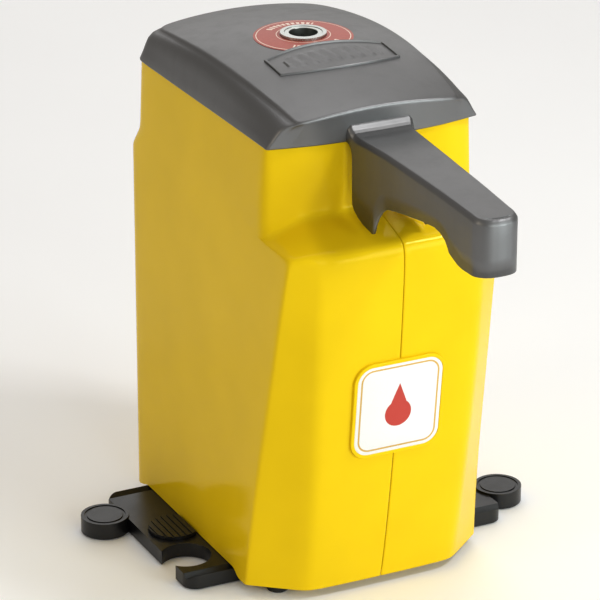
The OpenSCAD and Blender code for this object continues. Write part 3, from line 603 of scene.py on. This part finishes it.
def shroudPath():
    # plan of the shroud from the left root, round the nose, to the right root
    stations = sorted({y for key in ("low", "half", "top") for y, _ in shroudShape[key]}, reverse=True)
    nose, corner, w = shroudShape["nose"], shroudShape["noseCorner"], shroudShape["noseHalf"]
    left = [(-blend1d(shroudShape["half"], y), y) for y in stations if y > nose + corner]
    for k in range(shroudShape["noseSteps"] + 1):
        a = k / shroudShape["noseSteps"] * pi / 2
        left.append((-(w - corner) - corner * cos(a), nose + corner - corner * sin(a)))
    bulge = shroudShape["noseBulge"]
    left.append((-shroudShape["noseFlat"], nose - 0.75 * bulge))
    return left + [(0, nose - bulge)] + [(-x, y) for x, y in reversed(left)]


def shroud():
    path = shroudPath()
    drop, reach = shroudShape["bevelDrop"], shroudShape["bevelIn"]
    topIn = reach + shroudShape["topIn"]
    rows = [[] for _ in range(9)]
    for i, (x, y) in enumerate(path):
        a, b = Vector(path[max(0, i - 1)]), Vector(path[min(len(path) - 1, i + 1)])
        along = (b - a).normalized()
        inward = Vector((-along.y, along.x))
        if i == 0 or i == len(path) - 1:
            inward = Vector((-1 if x > 0 else 1, 0))
        top, low = blend1d(shroudShape["top"], y), blend1d(shroudShape["low"], y)
        low = min(low, top - shroudShape["leastWall"])
        # up the wall, over the bevel and on to the top
        steps = [(0, lerp(low, top - drop, t)) for t in shroudShape["shares"]]
        steps += [(0, top - drop - 1.0), (0.22, top - drop + 0.15)]
        steps += [(reach - 0.65, top - 0.45), (reach, top - 0.05), (topIn, top)]
        for r, (inset, z) in enumerate(steps):
            spot = Vector((x, y)) + inward * inset
            rows[r].append((spot.x, spot.y, z))
        # the top closes on the centre line with a slight crown
        spot = Vector((x, y)) + inward * topIn
        middleY = min(spot.y, y) if y > shroudShape["nose"] + 4 else spot.y
        rows[8].append((0, middleY, top + shroudShape["crown"]))
    bm = loft([[Vector(p) * mm for p in row] for row in rows])
    bmesh.ops.remove_doubles(bm, verts=bm.verts, dist=1e-6)
    bmesh.ops.recalc_face_normals(bm, faces=bm.faces)
    if max(bm.faces, key=lambda f: -f.calc_center_median().y + f.calc_center_median().z).normal.z < 0:
        bmesh.ops.reverse_faces(bm, faces=bm.faces)
    return place(bm, "spoutShroud", materials["lidGrey"], "lid", sharp=50,
                 modifiers=[wall(shroudShape["wall"])])


lidCover()
shroud()
print("stage: lid and shroud")

crest = {"half": 52.0, "rear": -25.7, "front": -74.2, "rearRadius": 132.0, "frontRadius": 160.0,
         "rise": 1.6, "sink": 1.2, "cols": 88, "rows": 26,
         # grid lines beside the border, and how high the plate stands on the first four
         "edgeSteps": (0.0, 0.05, 0.4, 1.7, 2.2), "rim": (-0.6, 1.25, 1.6, 1.6),
         # slanted bars, counted in grid lines
         "bar": 0.9, "barCols": 12, "barRows": 9, "barPitch": 8, "barWide": 4}


def towardsBorder(index, last, half):
    # the outer five grid lines go to set distances from the border, the rest share the field
    steps = crest["edgeSteps"]
    fromEdge = min(index, last - index)
    if fromEdge < len(steps):
        reach = half - steps[fromEdge]
    else:
        inner = half - steps[-1]
        reach = inner * (1 - (fromEdge - len(steps) + 1) / (last / 2 - len(steps) + 1))
    return -reach if index < last / 2 else reach


def lidCrest():
    # an arched plate with a raised rim and a row of slanted bars
    bm = bmesh.new()
    cols, rows, rim = crest["cols"], crest["rows"], crest["rim"]
    bmesh.ops.create_grid(bm, x_segments=cols, y_segments=rows, size=1)
    for v in bm.verts:
        i, j = round((v.co.x + 1) / 2 * cols), round((v.co.y + 1) / 2 * rows)
        x = towardsBorder(i, cols, crest["half"])
        rear = crest["rear"] - crest["rearRadius"] + sqrt(crest["rearRadius"] ** 2 - x * x)
        front = crest["front"] + crest["frontRadius"] - sqrt(crest["frontRadius"] ** 2 - x * x)
        half = (rear - front) / 2
        y = (rear + front) / 2 + towardsBorder(j, rows, half)
        nearest = min(i, cols - i, j, rows - j)
        rise = rim[nearest] if nearest < len(rim) else crest["rise"] - crest["sink"]
        inField = min(i, cols - i) >= crest["barCols"] and min(j, rows - j) >= crest["barRows"]
        if inField and (i + j // 2) % crest["barPitch"] < crest["barWide"]:
            rise += crest["bar"]
        v.co = Vector((x, y, crownAt(x, y, rise))) * mm
    return place(bm, "lidCrest", materials["lidGrey"], "lid", ["lid_crest"], 25)


lidCrest()
print("stage: crest")


copies = {
    "basePlate": {"node": "base_plate", "look": "baseBlack", "round": 1.3, "steps": 3},
    "baseFeet": {"node": "base_feet", "look": "darkRubber", "round": 0.5, "steps": 2},
    "frontFeet": {"node": "front_feet", "look": "darkRubber", "round": 1.4, "steps": 3},
    "releasePadLeft": {"node": "release_pad_left", "look": "baseBlack", "round": 0.35, "steps": 2},
    "releasePadRight": {"node": "release_pad_right", "look": "baseBlack", "round": 0.35, "steps": 2},
    "hingePin": {"node": "hinge_pin", "look": "steel", "round": 0.4, "steps": 2},
    "shellScrews": {"node": "shell_screws", "look": "steel", "round": 0.25, "steps": 2},
    "baseScrews": {"node": "base_screws", "look": "steel", "round": 0.25, "steps": 2},
    "deckScrews": {"node": "deck_screws", "look": "steel", "round": 0.25, "steps": 2},
    "buttonBezel": {"node": "button_bezel", "look": "brightRing", "round": 0.45, "steps": 3},
    "pushCup": {"node": "push_cup", "look": "brightRing", "round": 0.4, "steps": 3},
    "cupGuide": {"node": "cup_guide", "look": "pumpWhite", "round": 0.3, "steps": 2},
    "cupRetainer": {"node": "cup_retainer", "look": "steel", "round": 0.2, "steps": 2},
    "pumpDeck": {"node": "pump_deck", "look": "pumpWhite", "round": 0.6, "steps": 2},
    "pumpCylinder": {"node": "pump_cylinder", "look": "pumpWhite", "round": 0.5, "steps": 2},
    "cylinderCap": {"node": "cylinder_cap", "look": "lidGrey", "round": 0.4, "steps": 2},
    "plungerRod": {"node": "plunger_rod", "look": "steel", "round": 0.4, "steps": 2},
    "pistonHead": {"node": "piston", "look": "pumpWhite", "round": 0.3, "steps": 2},
    "valveBlock": {"node": "valve_block", "look": "pumpWhite", "round": 0.6, "steps": 2},
    "inletSeat": {"node": "inlet_seat", "look": "pumpWhite", "round": 0.0, "steps": 1},
    "outletSeat": {"node": "outlet_seat", "look": "pumpWhite", "round": 0.0, "steps": 1},
    "suctionSpigot": {"node": "suction_spigot", "look": "pumpWhite", "round": 0.3, "steps": 2},
    "tubeNut": {"node": "tube_nut", "look": "lidGrey", "round": 0.4, "steps": 2},
    "tubeClip": {"node": "tube_clip", "look": "lidGrey", "round": 0.4, "steps": 2},
    "nozzleTip": {"node": "nozzle_tip", "look": "nozzleBlack", "round": 0.4, "steps": 2},
    "pouchTray": {"node": "pouch_tray", "look": "pumpWhite", "round": 0.6, "steps": 2},
    "labelFrame": {"node": "label_frame", "look": "bodyYellow", "round": 1.1, "steps": 3},
    "rodSeal": {"node": "rod_seal", "look": "darkRubber", "round": 0.0, "steps": 1},
    "pistonSeal": {"node": "piston_seal", "look": "darkRubber", "round": 0.0, "steps": 1},
    "spigotSeal": {"node": "spigot_seal", "look": "darkRubber", "round": 0.0, "steps": 1},
    "nozzleSeal": {"node": "nozzle_seal", "look": "darkRubber", "round": 0.0, "steps": 1},
    "dischargeTube": {"node": "discharge_tube", "look": "steel", "round": 0.0, "steps": 1},
    "inletBall": {"node": "inlet_ball", "look": "steel", "round": 0.0, "steps": 1},
    "outletBall": {"node": "outlet_ball", "look": "steel", "round": 0.0, "steps": 1},
}


def makeCopies():
    for name, look in copies.items():
        node = look["node"]
        bm = roundedCopy(node, look["round"] * mm, look["steps"])
        piece = place(bm, name, materials[look["look"]], bodyOf(node), [node], 40)
        # large flat faces keep their shading beside the rounded edges
        weighted = piece.modifiers.new("evenShading", "WEIGHTED_NORMAL")
        weighted.keep_sharp = True
    print("stage: copies of the packed nodes")


makeCopies()


# sizes in metres, from the middle of the bezel
stickerLook = {"outer": 0.0375, "outerHalf": 0.00035, "inner": 0.0215, "innerHalf": 0.00030,
               "arc": 0.0300, "arcHalf": 0.0026, "arcReach": 0.72, "dashes": 46, "dashCut": -0.35,
               "worn": (0.36, 0.075, 0.055, 1), "red": (0.42, 0.105, 0.08, 1), "pale": (0.80, 0.66, 0.56, 1)}


def ringSticker():
    # red ring with plain pale lines and short arcs
    look = stickerLook
    shop = Shop("stickerRed")
    x, y, _ = shop.xyz()
    radius = (x * x + y * y).root()
    turn = y.maths("ARCTAN2", x)
    outer = abs(radius - look["outer"]) < look["outerHalf"]
    inner = abs(radius - look["inner"]) < look["innerHalf"]
    arcs = (abs(radius - look["arc"]) < look["arcHalf"]) * (abs(abs(turn) - pi / 2) < look["arcReach"])
    dashes = (turn * look["dashes"]).maths("SINE") > look["dashCut"]
    pale = (outer + inner).larger(arcs * dashes)
    wear = shop.noise(420, 5, 0.6)
    red = shop.mix(shop.spread(wear, 0.35, 0.7), look["worn"], look["red"])
    shop.set(Base_Color=shop.mix(pale * shop.spread(wear, 0.25, 0.4), red, look["pale"]))
    shop.set(Roughness=0.36 + 0.12 * wear, Specular_IOR_Level=0.45)
    shop.bump(pale * 0.3 + wear * 0.2, 0.08, 0.0001)
    bm = roundedCopy("button_ring_label", 0)
    place(bm, "ringSticker", shop.material, "lid", ["button_ring_label"], 40)


# sizes in metres
labelLook = {"middle": 0.168, "halfWide": 0.0368, "halfTall": 0.0388, "corner": 0.0132,
             "line": 0.0034, "lineHalf": 0.00075, "dropFoot": 0.006, "dropRadius": 0.0115, "dropTip": 0.0205,
             "dropFrom": -0.0015, "dropSlope": 0.40, "greyPaper": (0.72, 0.71, 0.70, 1),
             "paper": (0.78, 0.775, 0.765, 1), "ink": (0.47, 0.045, 0.03, 1), "tan": (0.58, 0.36, 0.085, 1)}


def labelCard():
    # white card with a tan line and a plain drop
    look = labelLook
    shop = Shop("labelWhite")
    x, _, z = shop.xyz()
    up = z - look["middle"]

    def roundedBox(inset):
        corner = look["corner"] - inset
        across = abs(x) - (look["halfWide"] - inset - corner)
        tall = abs(up) - (look["halfTall"] - inset - corner)
        across, tall = across.larger(0.0), tall.larger(0.0)
        return (across * across + tall * tall).root() - corner

    line = abs(roundedBox(look["line"])) < look["lineHalf"]
    # a drop: a round foot with a tapering top
    tip, low = look["dropTip"], up + look["dropFoot"]
    foot = (x * x + low * low).root() < look["dropRadius"]
    taper = (abs(x) < (tip - up) * look["dropSlope"]) * (up > look["dropFrom"]) * (up < tip)
    drop = foot.larger(taper)
    grain = shop.noise(1400, 4, 0.6)
    paper = shop.mix(shop.spread(grain, 0.3, 0.7), look["greyPaper"], look["paper"])
    printed = shop.mix(drop, paper, look["ink"])
    shop.set(Base_Color=shop.mix(line, printed, look["tan"]), Roughness=0.34 + 0.10 * grain)
    shop.bump(grain + drop * 0.4 + line * 0.4, 0.06, 0.0001)
    bm = roundedCopy("label_card", 0.0003, 2)
    place(bm, "labelCard", shop.material, "root", ["label_card"], 40)


coil = {"sides": 12, "stepsPerTurn": 28}
# wire and foot in millimetres; keep is the share of the length that is left at full travel
springs = {
    "plungerSpring": {"node": "plunger_spring", "wire": 0.9, "turns": 5.5,
                      "joint": "plunger_slide", "keep": 0.345, "foot": 352.0},
    "padSpringLeft": {"node": "pad_spring_left", "wire": 0.45, "turns": 3.0,
                      "joint": "pad_left_press", "keep": 0.42, "foot": 2.6},
    "padSpringRight": {"node": "pad_spring_right", "wire": 0.45, "turns": 3.0,
                       "joint": "pad_right_press", "keep": 0.42, "foot": 2.6},
}


def coilSprings():
    for name, look in springs.items():
        low, high = (Vector(v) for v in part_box(look["node"]))
        centre, wire = (low + high) / 2, look["wire"] * mm
        radius = (high.x - low.x) / 2 - wire
        bm = bmesh.new()
        section = bmesh.ops.create_circle(bm, cap_ends=True, segments=coil["sides"], radius=wire)["verts"]
        bmesh.ops.rotate(bm, cent=(0, 0, 0), matrix=Matrix.Rotation(pi / 2, 3, "X"), verts=section)
        bmesh.ops.translate(bm, vec=(centre.x + radius, centre.y, low.z + wire), verts=section)
        steps = round(look["turns"] * coil["stepsPerTurn"])
        rise = (high.z - low.z - 2 * wire) / steps
        geom = bm.verts[:] + bm.edges[:] + bm.faces[:]
        bmesh.ops.spin(bm, geom=geom, cent=centre, axis=(0, 0, 1), dvec=(0, 0, rise),
                       angle=look["turns"] * 2 * pi, steps=steps)
        bmesh.ops.recalc_face_normals(bm, faces=bm.faces)
        piece = place(bm, name, materials["steel"], "root", [look["node"]], 50)
        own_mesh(piece)


ringSticker()
labelCard()
coilSprings()
print("stage: sticker, label and springs")


lampLooks = {
    "keyLamp": {"spot": (1.35, -2.7, 0.85), "aim": (0, 0, 0.25), "size": (1.3, 1.4), "power": 37,
                "tint": (0.91, 1.0, 0.99)},
    "frontLamp": {"spot": (-0.2, -3.2, 1.0), "aim": (0, 0, 0.2), "size": (0.9, 1.6), "power": 17,
                  "tint": (0.95, 1.0, 0.97)},
    "topLamp": {"spot": (0.5, 1.2, 3.0), "aim": (0, 0, 0.2), "size": (2.4, 2.0), "power": 20,
                "tint": (1, 1, 1)},
    "backLamp": {"spot": (0.9, 2.3, 1.35), "aim": (0, 0, 0.35), "size": (2.0, 0.9), "power": 6,
                 "tint": (1, 1, 1)},
    "windowLamp": {"spot": (0.95, -0.95, 1.9), "aim": (0, -0.15, 0.3), "size": (0.40, 0.30), "power": 12,
                   "tint": (1, 1, 1)},
    "sideLamp": {"spot": (-2.8, -0.4, 1.4), "aim": (0, 0, 0.2), "size": (0.6, 1.0), "power": 9,
                 "tint": (1.0, 0.88, 0.68)},
}


def addObject(name, data):
    made = bpy.data.objects.new(name, data)
    bpy.context.scene.collection.objects.link(made)
    return made


def aimAt(thing, spot, aim):
    spot, aim = Vector(spot), Vector(aim)
    thing.location = spot
    thing.rotation_mode = "QUATERNION"
    thing.rotation_quaternion = (aim - spot).to_track_quat("-Z", "Y")


def areaLamp(name, look):
    data = bpy.data.lights.new(name, "AREA")
    data.shape = "RECTANGLE"
    data.size, data.size_y = look["size"]
    data.energy, data.color = look["power"], look["tint"]
    lamp = addObject(name, data)
    aimAt(lamp, look["spot"], look["aim"])
    return lamp


floorLook = {"half": 9, "cells": 4, "rough": 0.55,
             "low": (0.92, 0.92, 0.93, 1), "high": (0.95, 0.95, 0.96, 1)}


def paleFloor():
    bm = bmesh.new()
    cells = floorLook["cells"]
    bmesh.ops.create_grid(bm, x_segments=cells, y_segments=cells, size=floorLook["half"])
    bmesh.ops.recalc_face_normals(bm, faces=bm.faces)
    mesh = bpy.data.meshes.new("paleFloor")
    bm.to_mesh(mesh)
    bm.free()
    shop = Shop("paleFloor")
    cloud = shop.noise(3, 4)
    shop.set(Base_Color=shop.mix(cloud, floorLook["low"], floorLook["high"]))
    shop.set(Roughness=floorLook["rough"] + 0.1 * cloud)
    mesh.materials.append(shop.material)
    mesh.shade_smooth()
    return addObject("paleFloor", mesh)


worldLook = {"colour": (1, 0.96, 0.90, 1), "strength": 0.36}


def studioWorld():
    world = bpy.data.worlds.new("studioWorld")
    bpy.context.scene.world = world
    world.use_nodes = True
    background = world.node_tree.nodes["Background"]
    background.inputs["Color"].default_value = worldLook["colour"]
    background.inputs["Strength"].default_value = worldLook["strength"]


cameraLook = {"lens": 198.0, "sensor": 36.0, "clip": (0.1, 50),
              "spot": (-1.1033, -2.2290, 1.2266), "aim": (-0.063146, -0.122, 0.251977)}


def mainCamera():
    data = bpy.data.cameras.new("mainCamera")
    data.lens, data.sensor_width = cameraLook["lens"], cameraLook["sensor"]
    data.clip_start, data.clip_end = cameraLook["clip"]
    camera = addObject("mainCamera", data)
    aimAt(camera, cameraLook["spot"], cameraLook["aim"])
    bpy.context.scene.camera = camera
    return camera


def studio():
    floor = paleFloor()
    lamps = [areaLamp(name, look) for name, look in lampLooks.items()]
    studioWorld()
    camera = mainCamera()
    bpy.context.scene.view_settings.view_transform = "Standard"
    bpy.context.scene.view_settings.look = "Medium High Contrast"


studio()
print("stage: studio")
